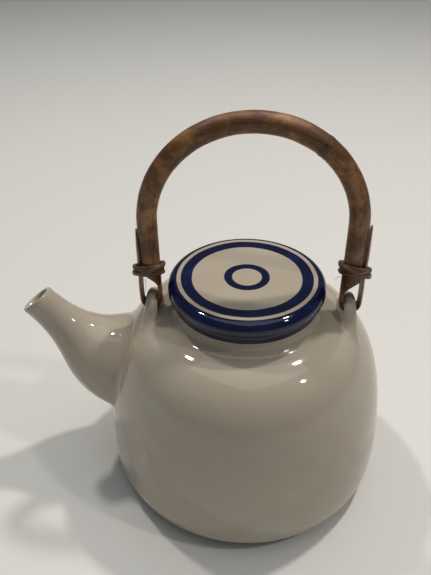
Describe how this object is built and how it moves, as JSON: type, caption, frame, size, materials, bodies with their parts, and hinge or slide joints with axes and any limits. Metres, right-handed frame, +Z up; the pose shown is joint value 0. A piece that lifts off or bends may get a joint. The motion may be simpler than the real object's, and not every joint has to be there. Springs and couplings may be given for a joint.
{
  "type": "teapot",
  "caption": "Wide round stoneware teapot with a short curved spout, a flat banded lid and a bent cane handle over the top.",
  "frame": {"origin": "on the pot's axis, where the ring foot meets the table", "axes": "+Z up; the spout points along -X; the lid is centred on the Z axis; the handle's bow lies in the XZ plane"},
  "size_m": [0.225, 0.176, 0.2416],
  "materials": {
    "cream_glaze": "glossy cream glaze with small iron specks",
    "lid_glaze": "glossy, navy bands painted on cream",
    "cane": "satin, mottled brown",
    "split_cane": "satin, dark brown"
  },
  "bodies": {
    "pot": {"pot": "cream_glaze", "spout": "cream_glaze", "lug_left": "cream_glaze", "lug_right": "cream_glaze"},
    "lid": {"lid": "lid_glaze"},
    "handle": {"cane": "cane", "tongue_left": "cane", "tongue_right": "cane", "binding_left": "split_cane", "binding_right": "split_cane"}
  },
  "joints": [
    {"name": "lid_lift", "type": "slide", "parent": "pot", "child": "lid", "axis": [0, 0, 1], "range_m": [0, 0.045]},
    {"name": "handle_swing", "type": "hinge", "parent": "pot", "child": "handle", "pos_m": [0.0022, 0, 0.12058], "axis": [1, 0, 0], "range_deg": [-32, 32]}
  ]
}
